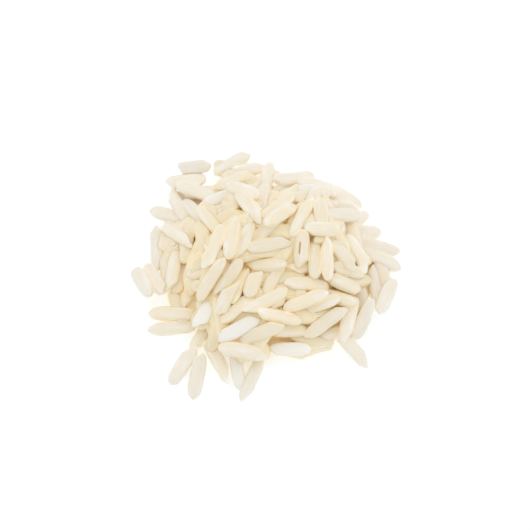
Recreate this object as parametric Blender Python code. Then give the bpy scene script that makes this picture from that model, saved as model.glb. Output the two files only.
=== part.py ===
"""A small heap of dry long-grain white rice, as it lies on a level surface.

The heap is one solid: a low core with a flat underside, and over it the grains that show, at
true size, fused to the core and to each other. The grains that stand out are laid where the eye
finds them, and the others fill up the mound between them by rule. Each grain comes to rest on
the ones already there.
"""
import math
from collections import namedtuple

import bmesh
import bpy
import numpy as np
from mathutils import Matrix, Vector

MM = 0.001

# One grain, and how its outline narrows towards its blunt ends
GRAIN_LENGTH = 7.2 * MM
GRAIN_WIDTH = 2.15 * MM
GRAIN_THICKNESS = 1.6 * MM
LONGEST_GRAIN = 7.9 * MM
LENGTH_SPREAD = (0.86, 1.08)
WIDTH_SPREAD = (0.90, 1.10)
THICKNESS_SPREAD = (0.90, 1.08)
END_TAPER = 3.8
END_BLUNTNESS = 0.58

# The mound that the grains fill up to, an oval dome
MOUND_CENTRE = (0.8 * MM, 0.9 * MM)
MOUND_RADII = (15.6 * MM, 13.4 * MM)
MOUND_HEIGHT = 6.8 * MM
MOUND_CURVE = 1.6

# The grains are laid over a core this far under the mound. Filling grains go where the pile is
# lower than a share of the mound by at least a gap, some before the grains on top and some after.
CORE_DEPTH = 4.2 * MM
FILL_SHARE = 0.45
FILL_LEAST_GAP = 1.0 * MM
LATE_SHARE = 0.88
LATE_LEAST_GAP = 1.0 * MM
FILL_SEED = 12

# How a grain nests between those under it, and the steepest it may lean, as a slope
NESTLE = 0.35 * MM
STEEPEST_FILL = 0.6
STEEPEST_SHOWN = 0.45

# The fused solid: its core, its few-sided grains, and the least share of a grain that has to show
SOLID_CORE_HEIGHT = 4.6 * MM
SOLID_CORE_RIM = 0.9 * MM
SOLID_CORE_REACH = 0.93
CORE_SIDES = 28
CORE_RINGS = 5
GRAIN_SIDES = 6
GRAIN_RINGS = 4
FACET_GROWTH = 1.12
LEAST_SHARE_SHOWN = 0.02

# The line of sight that the laid grains were read along, and the scale of the picture there
SIGHT_ELEVATION = math.radians(66)
PIXEL = MM / 6.8
ORIGIN_PIXEL = (266, 272)

# Grains that lie on the surface round the mound, each list from the mound outwards.
# Each is the pixel of its middle, its heading as seen in degrees, and its seen length in pixels.
STRAYS_UNDER = [
    (328, 334, 20, 46), (205, 330, 57, 44), (219, 358, -60, 50), (345, 214, 8, 44), (352, 222, 30, 40),
    (192, 288, 66, 46), (182, 276, 70, 46), (174, 275, 82, 49), (361, 304, -82, 47), (361, 322, 62, 44),
]
STRAYS_LEFT = [
    (152, 282, -62, 44), (139, 287, -61, 42), (156, 248, -87, 46), (172, 315, -3, 50), (170, 329, 6, 49),
]
STRAYS_FRONT = [
    (185, 362, 58, 44), (199, 372, 80, 46), (238, 366, -80, 40), (252, 376, 66, 47), (288, 358, -15, 46),
    (351, 347, -47, 46),
]
STRAYS_RIGHT = [
    (374, 285, -80, 44), (385, 298, 66, 42), (376, 246, -16, 50), (378, 258, -26, 50), (361, 232, 0, 42),
    (338, 205, -8, 48), (341, 194, -28, 50),
]
STRAYS_BACK = [
    (292, 188, 10, 42), (294, 180, 5, 44), (318, 190, -14, 44), (266, 180, 78, 44), (247, 168, 14, 48),
    (231, 161, 30, 44), (182, 197, -22, 44), (190, 182, -18, 46), (184, 183, 3, 44), (191, 169, -3, 37),
    (170, 216, -20, 46), (178, 208, -60, 40),
]

# Grains that lie on top of the mound, in the order that they came to lie there
TOP_LEFT = [
    (178, 236, -37, 44), (198, 214, -47, 46), (212, 224, -48, 46), (196, 190, -14, 48),
]
TOP_UNDER = [
    (262, 200, 80, 40), (277, 210, 38, 46), (262, 233, 42, 44), (310, 206, 68, 42), (285, 328, 5, 46),
    (240, 305, 40, 46), (346, 270, -5, 38), (342, 283, -14, 38), (340, 216, 10, 44), (348, 318, 75, 44),
    (300, 268, 20, 34), (275, 278, 60, 38),
]
TOP_BACK = [
    (244, 244, 67, 44), (233, 238, 80, 44), (280, 216, 40, 44), (320, 220, -88, 40), (220, 198, 22, 42),
    (243, 191, -28, 44), (252, 212, -53, 44), (216, 248, 64, 46),
]
TOP_FRONT = [
    (213, 279, 52, 47), (230, 278, 50, 44), (228, 295, 62, 38), (205, 310, 53, 30), (340, 256, -50, 40),
    (356, 254, -58, 44), (337, 291, -17, 42), (262, 331, 12, 50), (288, 341, -2, 42), (243, 347, -8, 50),
    (240, 326, 24, 47), (265, 299, 25, 50), (280, 315, -3, 48), (305, 284, 2, 46), (316, 304, 12, 50),
    (305, 298, 22, 48), (325, 320, 33, 51),
]
TOP_MIDDLE = [
    (298, 218, 62, 46), (270, 246, 14, 46), (265, 265, -3, 44), (253, 283, 70, 30), (313, 258, -88, 42),
    (301, 250, 85, 38), (325, 258, -88, 43), (322, 231, 0, 36),
]
STRAYS = STRAYS_UNDER + STRAYS_LEFT + STRAYS_FRONT + STRAYS_RIGHT + STRAYS_BACK
TOP_GRAINS = TOP_LEFT + TOP_UNDER + TOP_BACK + TOP_FRONT + TOP_MIDDLE

# Headings of the filling grains, which fan out from left to right
FAN_HEADING = 55.0
FAN_PER_MM = -2.2
FAN_SCATTER = 0.7

# The laying rule: the grid of the pile's top, the feelers under a grain, how far a grain slides or
# is drawn in, and what its turn, height and slope cost when one place is weighed against another
GRID_STEP = 0.2 * MM
GRID_HALF = 26.0 * MM
FEELERS_ALONG = 15
FEELERS_ACROSS = 7
FEELER_REACH = (0.92, 0.85)
SLOPE_PASSES = 3
ROUNDING = 8
FILL_DROPS = 400
FILL_TRIES = 24
FILL_SCATTER = 1.2 * MM
FILL_SLOPE_COST = 1.5 * MM
FILL_SLIDES = 10
LATE_SLIDES = 3
SHOWN_MARGIN = 1.2 * MM
SLIDE_STEP = 0.3 * MM
SLIDE_TURN = 0.12
SLIDE_FRICTION = 0.45
LAID_TRIES = 240
LAID_SCATTER = (0.25 * MM, 0.9 * MM, 0.06)
LAID_TURN_COST = 4.0 * MM
LAID_HEIGHT_COST = 0.4
LAID_SLOPE_COST = 1.0 * MM
MIDDLE_HEIGHT = 0.9 * MM
TOUCH_REACH = 0.92
TOUCH_STEP = 0.1 * MM
TOUCH_MOST_STEPS = 16
TOUCH_OVERLAP_STEPS = 4
LEAST_LIFT = 0.8 * MM
SIGHT_PASSES = 30

# Finish of the solid, and the distance under which two points are one
RICE_COLOUR = (0.863, 0.768, 0.638, 1.0)
RICE_ROUGHNESS = 0.4
MERGE_DISTANCE = 0.001 * MM

Grain = namedtuple("Grain", "x y z turn slope length width thickness group")


def fullness(s):
    """Thickness of a grain at s, from -1 at one tip to 1 at the other, as a share of its greatest."""
    return (1 - np.minimum(np.abs(s), 1) ** END_TAPER) ** END_BLUNTNESS


def mound_reach(x, y):
    """How far out places of the surface lie, from 0 at the mound's middle to 1 at its rim."""
    return np.hypot((x - MOUND_CENTRE[0]) / MOUND_RADII[0], (y - MOUND_CENTRE[1]) / MOUND_RADII[1])


def mound_height(x, y):
    """Height of the mound's even outer form over places of the surface."""
    return MOUND_HEIGHT * np.clip(1 - mound_reach(x, y) ** MOUND_CURVE, 0, 1)


class Pile:
    """The heap as it grows: its grains, and the height and owner of its top over a fine grid."""

    def __init__(self):
        count = 2 * round(GRID_HALF / GRID_STEP) + 1
        self.axis = np.linspace(-GRID_HALF, GRID_HALF, count)
        self.grid_x, self.grid_y = np.meshgrid(self.axis, self.axis, indexing="ij")
        self.top = np.maximum(mound_height(self.grid_x, self.grid_y) - CORE_DEPTH, 0)
        self.owner = np.full(self.top.shape, -1)
        self.grains = []
        self.footprints = []

    def cell(self, x, y):
        """Nearest cells of the grid to places of the surface."""
        last = len(self.axis) - 1
        i = np.clip(np.rint((x + GRID_HALF) / GRID_STEP).astype(int), 0, last)
        j = np.clip(np.rint((y + GRID_HALF) / GRID_STEP).astype(int), 0, last)
        return i, j

    def shows_laid_grain(self, x, y):
        """Whether a grain laid on top by hand is uppermost at or close round each place."""
        laid = np.array([grain.group == "top" for grain in self.grains] + [False])
        found = np.zeros(len(x), bool)
        for dx, dy in ((0, 0), (SHOWN_MARGIN, 0), (-SHOWN_MARGIN, 0), (0, SHOWN_MARGIN), (0, -SHOWN_MARGIN)):
            found |= laid[self.owner[self.cell(x + dx, y + dy)]]
        return found

    def rest(self, x, y, turn, size, steepest):
        """Height and slope at which a grain comes to rest at each of some places and headings.

        The grain is felt under at stations along it. It lies on the two stations, one on each
        side of its middle, that hold the middle up highest.
        """
        x, y, turn = (np.asarray(values, float).reshape(-1, 1, 1) for values in (x, y, turn))
        half_length, half_width, half_thickness = (value / 2 for value in size)
        s = np.linspace(-FEELER_REACH[0], FEELER_REACH[0], FEELERS_ALONG).reshape(1, -1, 1)
        t = np.linspace(-FEELER_REACH[1], FEELER_REACH[1], FEELERS_ACROSS).reshape(1, 1, -1)
        middle = FEELERS_ALONG // 2
        slope = np.zeros(x.shape)
        for _ in range(SLOPE_PASSES):
            level = 1 / np.sqrt(1 + slope ** 2)
            along = s * half_length * level
            across = t * half_width * fullness(s)
            feeler_x = x + along * np.cos(turn) - across * np.sin(turn)
            feeler_y = y + along * np.sin(turn) + across * np.cos(turn)
            ground = np.maximum(self.top[self.cell(feeler_x, feeler_y)] - NESTLE, 0)
            need = (ground + half_thickness * fullness(s) * np.sqrt(1 - t ** 2) / level).max(axis=2)
            need = np.round(need, ROUNDING)
            station = along[:, :, 0]
            near, far = station[:, :middle, None], station[:, None, middle + 1:]
            near_need, far_need = need[:, :middle, None], need[:, None, middle + 1:]
            held = np.round((near_need * far - far_need * near) / (far - near), ROUNDING)
            lean = (far_need - near_need) / (far - near)
            best = held.reshape(len(held), -1).argmax(axis=1)
            chosen = lean.reshape(len(lean), -1)[np.arange(len(lean)), best]
            slope = np.clip(chosen, -steepest, steepest).reshape(-1, 1, 1)
        z = (need - slope[:, :, 0] * station).max(axis=1)
        return np.round(z, ROUNDING), slope[:, 0, 0]

    def touches(self, x, y, turn, size):
        """Whether a grain lying flat here meets an earlier one or the core's rim."""
        s = np.linspace(-1, 1, FEELERS_ALONG)
        along = np.concatenate([s, s]) * size[0] / 2
        across = np.concatenate([fullness(s), -fullness(s)]) * size[1] / 2
        edge_x = x + along * math.cos(turn) - across * math.sin(turn)
        edge_y = y + along * math.sin(turn) + across * math.cos(turn)
        meets_grain = (self.owner[self.cell(edge_x, edge_y)] >= 0).any()
        return meets_grain or mound_reach(edge_x, edge_y).min() < TOUCH_REACH

    def slide(self, x, y, turn, size, steps, steepest):
        """Lets a grain creep downhill and turn, and returns where it stops."""
        z, slope = (values[0] for values in self.rest([x], [y], [turn], size, steepest))
        moves = [
            (0, SLIDE_STEP, 0), (0, -SLIDE_STEP, 0), (SLIDE_STEP, 0, 0), (-SLIDE_STEP, 0, 0),
            (0, 0, SLIDE_TURN), (0, 0, -SLIDE_TURN),
        ]
        for _ in range(steps):
            xs = [x + a * math.cos(turn) - b * math.sin(turn) for a, b, _ in moves]
            ys = [y + a * math.sin(turn) + b * math.cos(turn) for a, b, _ in moves]
            turns = [turn + c for *_, c in moves]
            heights, slopes = self.rest(xs, ys, turns, size, steepest)
            k = int(heights.argmin())
            if heights[k] > z - SLIDE_FRICTION * SLIDE_STEP:
                break
            x, y, turn, z, slope = xs[k], ys[k], turns[k], heights[k], slopes[k]
        return x, y, z, turn, slope

    def add(self, pose, size, group):
        """Keeps a grain, and raises the pile's top by it."""
        x, y, z, turn, slope = (round(float(value), ROUNDING) for value in pose)
        length, width, thickness = size
        level = 1 / math.sqrt(1 + slope ** 2)
        near = np.hypot(self.grid_x - x, self.grid_y - y) < length / 2
        dx, dy = self.grid_x[near] - x, self.grid_y[near] - y
        along = dx * math.cos(turn) + dy * math.sin(turn)
        across = -dx * math.sin(turn) + dy * math.cos(turn)
        reach = width / 2 * fullness(along / (length / 2 * level))
        inside = np.abs(across) < reach
        bulge = thickness / width * np.sqrt(np.maximum(reach ** 2 - across ** 2, 0)) / level
        height = np.where(inside, z + slope * along + bulge, -np.inf)
        top, owner = self.top[near], self.owner[near]
        raised = height > top
        top[raised] = height[raised]
        owner[raised] = len(self.grains)
        self.top[near] = top
        self.owner[near] = owner
        self.grains.append(Grain(x, y, z, turn, slope, length, width, thickness, group))
        self.footprints.append(int(inside.sum()))

    def share_shown(self):
        """Share of each grain's outline, seen from above, that no later grain lies over."""
        owned = np.bincount(self.owner[self.owner >= 0], minlength=len(self.grains))
        return owned / np.array(self.footprints)


def draw_size(draw, length=None):
    """Length, width and thickness of the next grain."""
    length = length or GRAIN_LENGTH * draw.uniform(*LENGTH_SPREAD)
    width = GRAIN_WIDTH * draw.uniform(*WIDTH_SPREAD)
    return length, width, GRAIN_THICKNESS * draw.uniform(*THICKNESS_SPREAD)


def read_seen(seen):
    """Place right and up of the origin in the picture, heading on the surface, and true length."""
    px, py, heading, length = seen
    right = (px - ORIGIN_PIXEL[0]) * PIXEL
    up = (ORIGIN_PIXEL[1] - py) * PIXEL
    heading = math.radians(heading)
    turn = math.atan2(math.sin(heading) / math.sin(SIGHT_ELEVATION), math.cos(heading))
    foreshortened = math.hypot(math.cos(turn), math.sin(turn) * math.sin(SIGHT_ELEVATION))
    return right, up, turn, min(length * PIXEL / foreshortened, LONGEST_GRAIN)


def lay_stray(pile, draw, seen):
    """Lays a grain of the outline where it is seen, drawn in until it lies against the rest."""
    right, up, turn, length = read_seen(seen)
    x, y = right, (up - MIDDLE_HEIGHT * math.cos(SIGHT_ELEVATION)) / math.sin(SIGHT_ELEVATION)
    size = draw_size(draw, length)
    inwards = Vector((MOUND_CENTRE[0] - x, MOUND_CENTRE[1] - y)).normalized() * TOUCH_STEP
    steps = 0
    while steps < TOUCH_MOST_STEPS and not pile.touches(x, y, turn, size):
        x += inwards.x
        y += inwards.y
        steps += 1
    if steps:
        x += inwards.x * TOUCH_OVERLAP_STEPS
        y += inwards.y * TOUCH_OVERLAP_STEPS
    x, y, z, turn, slope = pile.slide(x, y, turn, size, 0, STEEPEST_SHOWN)
    if z < size[2] / 2 + LEAST_LIFT:
        z, slope = size[2] / 2, 0.0
    pile.add((x, y, z, turn, slope), size, "stray")


def lay_on_top(pile, draw, seen):
    """Lays a grain on the mound so that it lies low and flat and is seen in its place."""
    right, up, turn, length = read_seen(seen)
    y = up
    for _ in range(SIGHT_PASSES):
        height = float(mound_height(right, y)) + MIDDLE_HEIGHT
        y += ((up - height * math.cos(SIGHT_ELEVATION)) / math.sin(SIGHT_ELEVATION) - y) / 2
    size = draw_size(draw, length)
    xs = right + draw.normal(0, LAID_SCATTER[0], LAID_TRIES)
    ys = y + draw.normal(0, LAID_SCATTER[1], LAID_TRIES)
    turns = turn + draw.normal(0, LAID_SCATTER[2], LAID_TRIES)
    z, slope = pile.rest(xs, ys, turns, size, STEEPEST_SHOWN)
    seen_up = ys * math.sin(SIGHT_ELEVATION) + z * math.cos(SIGHT_ELEVATION)
    off = np.hypot(xs - right, seen_up - up) + LAID_TURN_COST * np.abs(turns - turn)
    cost = off + LAID_HEIGHT_COST * z + LAID_SLOPE_COST * np.abs(slope)
    k = int(np.round(cost, ROUNDING).argmin())
    pile.add((xs[k], ys[k], z[k], turns[k], slope[k]), size, "top")


def fan(x):
    """Heading that filling grains tend to at a place."""
    return np.radians(FAN_HEADING + FAN_PER_MM * x / MM)


def fill(pile, draw, share, least_gap, slides):
    """Drops grains where the pile lies furthest under a share of the mound, until it is full."""
    while True:
        x = draw.uniform(-GRID_HALF, GRID_HALF, FILL_DROPS)
        y = draw.uniform(-GRID_HALF, GRID_HALF, FILL_DROPS)
        gap = share * mound_height(x, y) - pile.top[pile.cell(x, y)]
        gap[pile.shows_laid_grain(x, y)] = 0
        k = int(np.round(gap, ROUNDING).argmax())
        if gap[k] < least_gap:
            return
        size = draw_size(draw)
        xs = x[k] + draw.normal(0, FILL_SCATTER, FILL_TRIES)
        ys = y[k] + draw.normal(0, FILL_SCATTER, FILL_TRIES)
        turns = fan(xs) + draw.normal(0, FAN_SCATTER, FILL_TRIES)
        z, slope = pile.rest(xs, ys, turns, size, STEEPEST_FILL)
        cost = z - mound_height(xs, ys) + FILL_SLOPE_COST * np.abs(slope)
        k = int(np.round(cost, ROUNDING).argmin())
        pile.add(pile.slide(xs[k], ys[k], turns[k], size, slides, STEEPEST_FILL), size, "fill")


def lay_heap():
    """Lays the whole heap, from the strays on the surface to the grains on top."""
    draw = np.random.default_rng(FILL_SEED)
    pile = Pile()
    for seen in STRAYS:
        lay_stray(pile, draw, seen)
    fill(pile, draw, FILL_SHARE, FILL_LEAST_GAP, FILL_SLIDES)
    for seen in TOP_GRAINS:
        lay_on_top(pile, draw, seen)
    fill(pile, draw, LATE_SHARE, LATE_LEAST_GAP, LATE_SLIDES)
    return pile


def rice_material():
    """Plain material of the solid: the cream white of polished rice."""
    material = bpy.data.materials.new("rice")
    material.use_nodes = True
    surface = material.node_tree.nodes["Principled BSDF"]
    surface.inputs["Base Color"].default_value = RICE_COLOUR
    surface.inputs["Roughness"].default_value = RICE_ROUGHNESS
    surface.inputs["Metallic"].default_value = 0.0
    return material


def grain_mesh(material):
    """A grain of unit half sizes along X, with six sides, four rings and two tips."""
    bm = bmesh.new()
    bmesh.ops.create_uvsphere(bm, u_segments=GRAIN_SIDES, v_segments=GRAIN_RINGS + 1, radius=1)
    bmesh.ops.rotate(bm, verts=bm.verts, matrix=Matrix.Rotation(math.pi / 2, 3, "Y"))
    for vert in bm.verts:
        ring = math.hypot(vert.co.y, vert.co.z)
        if ring < MERGE_DISTANCE:
            continue
        radius = FACET_GROWTH * float(fullness(vert.co.x)) / ring
        vert.co.y *= radius
        vert.co.z *= radius
    mesh = bpy.data.meshes.new("grain")
    bm.to_mesh(mesh)
    bm.free()
    mesh.materials.append(material)
    return mesh


def grain_frame(grain):
    """Matrix that brings the unit grain to a laid grain's place, lie and size."""
    ahead = Vector((math.cos(grain.turn), math.sin(grain.turn), grain.slope)).normalized()
    side = Vector((-math.sin(grain.turn), math.cos(grain.turn), 0))
    up = ahead.cross(side)
    axes = (ahead * grain.length / 2, side * grain.width / 2, up * grain.thickness / 2)
    frame = Matrix(axes).transposed().to_4x4()
    frame.translation = (grain.x, grain.y, grain.z)
    return frame


def core_object(material):
    """The core: an oval dome with a flat underside, turned from its profile."""
    bm = bmesh.new()
    chain = [bm.verts.new((0, 0, 0)), bm.verts.new((SOLID_CORE_REACH, 0, 0))]
    for ring in range(CORE_RINGS, -1, -1):
        out = ring / CORE_RINGS
        height = SOLID_CORE_RIM + (SOLID_CORE_HEIGHT - SOLID_CORE_RIM) * (1 - out ** MOUND_CURVE)
        chain.append(bm.verts.new((out * SOLID_CORE_REACH, 0, height)))
    for lower, upper in zip(chain, chain[1:]):
        bm.edges.new((lower, upper))
    bmesh.ops.spin(bm, geom=bm.verts[:] + bm.edges[:], axis=(0, 0, 1), cent=(0, 0, 0),
                   angle=2 * math.pi, steps=CORE_SIDES, use_merge=True)
    bmesh.ops.remove_doubles(bm, verts=bm.verts, dist=MERGE_DISTANCE)
    bmesh.ops.scale(bm, verts=bm.verts, vec=(MOUND_RADII[0], MOUND_RADII[1], 1))
    bmesh.ops.translate(bm, verts=bm.verts, vec=(MOUND_CENTRE[0], MOUND_CENTRE[1], 0))
    bmesh.ops.recalc_face_normals(bm, faces=bm.faces)
    mesh = bpy.data.meshes.new("rice_heap")
    bm.to_mesh(mesh)
    bm.free()
    mesh.materials.append(material)
    core = bpy.data.objects.new("rice_heap", mesh)
    bpy.context.scene.collection.objects.link(core)
    return core


def fuse(core, pieces):
    """Joins the grains to the core and to each other, and clears the separate grains away."""
    union = core.modifiers.new("Grains", "BOOLEAN")
    union.operation = "UNION"
    union.operand_type = "COLLECTION"
    union.collection = pieces
    union.solver = "EXACT"
    evaluated = core.evaluated_get(bpy.context.evaluated_depsgraph_get())
    core.data = bpy.data.meshes.new_from_object(evaluated)
    core.data.name = core.name
    core.modifiers.remove(union)
    for piece in list(pieces.objects):
        bpy.data.objects.remove(piece)
    bpy.data.collections.remove(pieces)


def bodies_of(bm):
    """Faces of a mesh, in one list for each closed skin."""
    left = set(bm.faces)
    bodies = []
    while left:
        body = [left.pop()]
        for face in body:
            for edge in face.edges:
                for other in edge.link_faces:
                    if other in left:
                        left.remove(other)
                        body.append(other)
        bodies.append(body)
    return bodies


def keep_outer_skin(mesh):
    """Keeps the largest closed skin, so that sealed hollows are filled and loose scraps go."""
    bm = bmesh.new()
    bm.from_mesh(mesh)
    bodies = sorted(bodies_of(bm), key=len)
    spare = [face for body in bodies[:-1] for face in body]
    bmesh.ops.delete(bm, geom=spare, context="FACES")
    bm.to_mesh(mesh)
    bm.free()


def build():
    """Clears the scene and makes the heap."""
    for thing in list(bpy.data.objects):
        bpy.data.objects.remove(thing)
    pile = lay_heap()
    shown = [grain for grain, share in zip(pile.grains, pile.share_shown()) if share >= LEAST_SHARE_SHOWN]
    pieces = bpy.data.collections.new("grains")
    bpy.context.scene.collection.children.link(pieces)
    material = rice_material()
    mesh = grain_mesh(material)
    for grain in shown:
        piece = bpy.data.objects.new("grain", mesh)
        piece.matrix_world = grain_frame(grain)
        pieces.objects.link(piece)
    heap = core_object(material)
    fuse(heap, pieces)
    keep_outer_skin(heap.data)


build()
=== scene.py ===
"""Looks of a small heap of dry long-grain white rice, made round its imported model.

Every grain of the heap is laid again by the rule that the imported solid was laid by, and is then
shaped and finished as a real grain over a core of rice-sized relief.
"""
import functools
import math
from collections import namedtuple

import bpy
import numpy as np
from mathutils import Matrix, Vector


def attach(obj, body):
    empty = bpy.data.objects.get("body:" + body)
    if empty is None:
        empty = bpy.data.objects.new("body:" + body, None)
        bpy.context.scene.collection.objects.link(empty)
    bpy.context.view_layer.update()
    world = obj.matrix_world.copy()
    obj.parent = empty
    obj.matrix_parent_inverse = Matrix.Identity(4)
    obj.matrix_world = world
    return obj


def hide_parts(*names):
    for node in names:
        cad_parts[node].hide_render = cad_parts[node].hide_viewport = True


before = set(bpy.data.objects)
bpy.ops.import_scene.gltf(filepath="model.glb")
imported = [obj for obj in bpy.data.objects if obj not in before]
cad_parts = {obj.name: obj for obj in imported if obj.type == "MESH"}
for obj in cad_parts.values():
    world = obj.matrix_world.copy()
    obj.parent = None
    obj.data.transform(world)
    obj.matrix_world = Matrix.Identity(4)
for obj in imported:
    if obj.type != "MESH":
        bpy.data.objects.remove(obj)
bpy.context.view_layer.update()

bl_info = {
    "name": "Heap of long-grain rice",
    "version": (1, 0, 0),
    "blender": (4, 5, 0),
    "location": "View3D > Sidebar > Rice",
    "description": "Makes a small heap of dry long-grain white rice, with its stage",
    "category": "Add Mesh",
}

NODE = "rice_heap"
BODY = "root"
MM = 0.001

# One grain, and how its outline narrows towards its blunt ends
GRAIN_LENGTH = 7.2 * MM
GRAIN_WIDTH = 2.15 * MM
GRAIN_THICKNESS = 1.6 * MM
LONGEST_GRAIN = 7.9 * MM
LENGTH_SPREAD = (0.86, 1.08)
WIDTH_SPREAD = (0.90, 1.10)
THICKNESS_SPREAD = (0.90, 1.08)
END_TAPER = 3.8
END_BLUNTNESS = 0.58

# The mound that the grains fill up to, an oval dome
MOUND_CENTRE = (0.8 * MM, 0.9 * MM)
MOUND_RADII = (15.6 * MM, 13.4 * MM)
MOUND_HEIGHT = 6.8 * MM
MOUND_CURVE = 1.6

# The grains are laid over a core this far under the mound. Filling grains go where the pile is
# lower than a share of the mound by more than a gap, some before the grains on top and some after.
CORE_DEPTH = 4.2 * MM
FILL_SHARE = 0.45
LATE_SHARE = 0.88
LEAST_GAP = 1.0 * MM
FILL_SEED = 12

# How a grain nests between those under it, and the steepest it may lean, as a slope
NESTLE = 0.35 * MM
STEEPEST_FILL = 0.6
STEEPEST_SHOWN = 0.45

# The line of sight that the laid grains were read along, and the scale of the picture there
SIGHT_ELEVATION = math.radians(66)
SIGHT_SIN, SIGHT_COS = math.sin(SIGHT_ELEVATION), math.cos(SIGHT_ELEVATION)
PIXEL = MM / 6.8
ORIGIN_PIXEL = (266, 272)
PICTURE_SIDE = 530

# Grains that lie on the surface round the mound, from the mound outwards at each side. Each is the
# pixel of its middle, its heading as seen in degrees, and its seen length in pixels.
STRAYS = [
    # Under the rest
    (328, 334, 20, 46), (205, 330, 57, 44), (219, 358, -60, 50), (345, 214, 8, 44), (352, 222, 30, 40),
    (192, 288, 66, 46), (182, 276, 70, 46), (174, 275, 82, 49), (361, 304, -82, 47), (361, 322, 62, 44),
    # Left
    (152, 282, -62, 44), (139, 287, -61, 42), (156, 248, -87, 46), (172, 315, -3, 50), (170, 329, 6, 49),
    # Front
    (185, 362, 58, 44), (199, 372, 80, 46), (238, 366, -80, 40), (252, 376, 66, 47), (288, 358, -15, 46),
    (351, 347, -47, 46),
    # Right
    (374, 285, -80, 44), (385, 298, 66, 42), (376, 246, -16, 50), (378, 258, -26, 50), (361, 232, 0, 42),
    (338, 205, -8, 48), (341, 194, -28, 50),
    # Back
    (292, 188, 10, 42), (294, 180, 5, 44), (318, 190, -14, 44), (266, 180, 78, 44), (247, 168, 14, 48),
    (231, 161, 30, 44), (182, 197, -22, 44), (190, 182, -18, 46), (184, 183, 3, 44), (191, 169, -3, 37),
    (170, 216, -20, 46), (178, 208, -60, 40),
]

# Grains that lie on top of the mound, in the order that they came to lie there
TOP_GRAINS = [
    # Left
    (178, 236, -37, 44), (198, 214, -47, 46), (212, 224, -48, 46), (196, 190, -14, 48),
    # Under the rest
    (262, 200, 80, 40), (277, 210, 38, 46), (262, 233, 42, 44), (310, 206, 68, 42), (285, 328, 5, 46),
    (240, 305, 40, 46), (346, 270, -5, 38), (342, 283, -14, 38), (340, 216, 10, 44), (348, 318, 75, 44),
    (300, 268, 20, 34), (275, 278, 60, 38),
    # Back
    (244, 244, 67, 44), (233, 238, 80, 44), (280, 216, 40, 44), (320, 220, -88, 40), (220, 198, 22, 42),
    (243, 191, -28, 44), (252, 212, -53, 44), (216, 248, 64, 46),
    # Front
    (213, 279, 52, 47), (230, 278, 50, 44), (228, 295, 62, 38), (205, 310, 53, 30), (340, 256, -50, 40),
    (356, 254, -58, 44), (337, 291, -17, 42), (262, 331, 12, 50), (288, 341, -2, 42), (243, 347, -8, 50),
    (240, 326, 24, 47), (265, 299, 25, 50), (280, 315, -3, 48), (305, 284, 2, 46), (316, 304, 12, 50),
    (305, 298, 22, 48), (325, 320, 33, 51),
    # Middle
    (298, 218, 62, 46), (270, 246, 14, 46), (265, 265, -3, 44), (253, 283, 70, 30), (313, 258, -88, 42),
    (301, 250, 85, 38), (325, 258, -88, 43), (322, 231, 0, 36),
]

# Grains seen to be chalky, the one with a brown slit, and those broken at the end that points up or
# right (1) or at the other one (-1), each by the pixel of its middle
CHALKY_SEEN = [(205, 310), (240, 326), (288, 341), (238, 366), (220, 198)]
SLIT_SEEN = (301, 250)
BROKEN_SEEN = {
    (174, 275): -1, (191, 169): -1, (288, 358): 1, (253, 283): 1, (300, 268): -1, (228, 295): 1,
}

# Headings of the filling grains, which fan out from left to right
FAN_HEADING = 55.0
FAN_PER_MM = -2.2
FAN_SCATTER = 0.7

# The laying rule: the grid of the pile's top, the feelers under a grain, how far a grain slides or
# is drawn in, and what its turn, height and slope cost when places are weighed
GRID_STEP = 0.2 * MM
GRID_HALF = 26.0 * MM
FEELERS_ALONG = 15
FEELERS_ACROSS = 7
FEELER_REACH = (0.92, 0.85)
SLOPE_PASSES = 3
ROUNDING = 8
FILL_DROPS = 400
FILL_TRIES = 24
FILL_SCATTER = 1.2 * MM
FILL_SLOPE_COST = 1.5 * MM
FILL_SLIDES = 10
LATE_SLIDES = 3
SHOWN_MARGIN = 1.2 * MM
SLIDE_STEP = 0.3 * MM
SLIDE_TURN = 0.12
SLIDE_FRICTION = 0.45
LAID_TRIES = 240
LAID_SCATTER = (0.25 * MM, 0.9 * MM, 0.06)
LAID_TURN_COST = 4.0 * MM
LAID_HEIGHT_COST = 0.4
LAID_SLOPE_COST = 1.0 * MM
MIDDLE_HEIGHT = 0.9 * MM
TOUCH_REACH = 0.92
TOUCH_STEP = 0.1 * MM
TOUCH_MOST_STEPS = 16
TOUCH_OVERLAP_STEPS = 4
LEAST_LIFT = 0.8 * MM
SIGHT_PASSES = 30

# How single grains differ: their roll and bend, and the shares of filling grains that are chalky
# and broken
KIND_SEED = 5
ROLL_SPREAD = math.radians(14)
BEND_SPREAD = 0.16
CHALKY_CHANCE = 0.05
BROKEN_CHANCE = 0.06

# How a grain ends: the slant of its cut, and how far across the cut starts, at the germ, at the tail
# and at a break. A broken grain is stretched first, so that its cut is blunt.
GERM_SLANT = (0.3, 0.65)
GERM_START = (-0.45, 0.15)
TAIL_SLANT = (0.05, 0.35)
TAIL_START = (-0.2, 0.4)
TAIL_SAME_SIDE = 0.6
BREAK_STRETCH = (1.12, 1.35)
BREAK_SLANT = (0.05, 0.5)
BREAK_START = -1.0

# The mesh of a grain, whose flats and uneven swell are shares of its width
GRAIN_SIDES = 20
GRAIN_RINGS = 20
TIP_TAPER = 4.2
TIP_BLUNTNESS = 0.56
TIP_CLOSE = 0.0001
FACET_COUNT = 4.0
FACET_DEPTH = 0.075
UNEVENNESS = 0.05
UNEVEN_APART = 420.0
UNEVEN_SCALE = 1.3
UNEVEN_REACH = (0.2, 0.8)
BEND_LEVEL = 0.5
TREE_NAME = "Rice grains"
KEPT_ATTRIBUTES = ("grain_place", "grain_tone", "grain_rim", "grain_slit")

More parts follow.
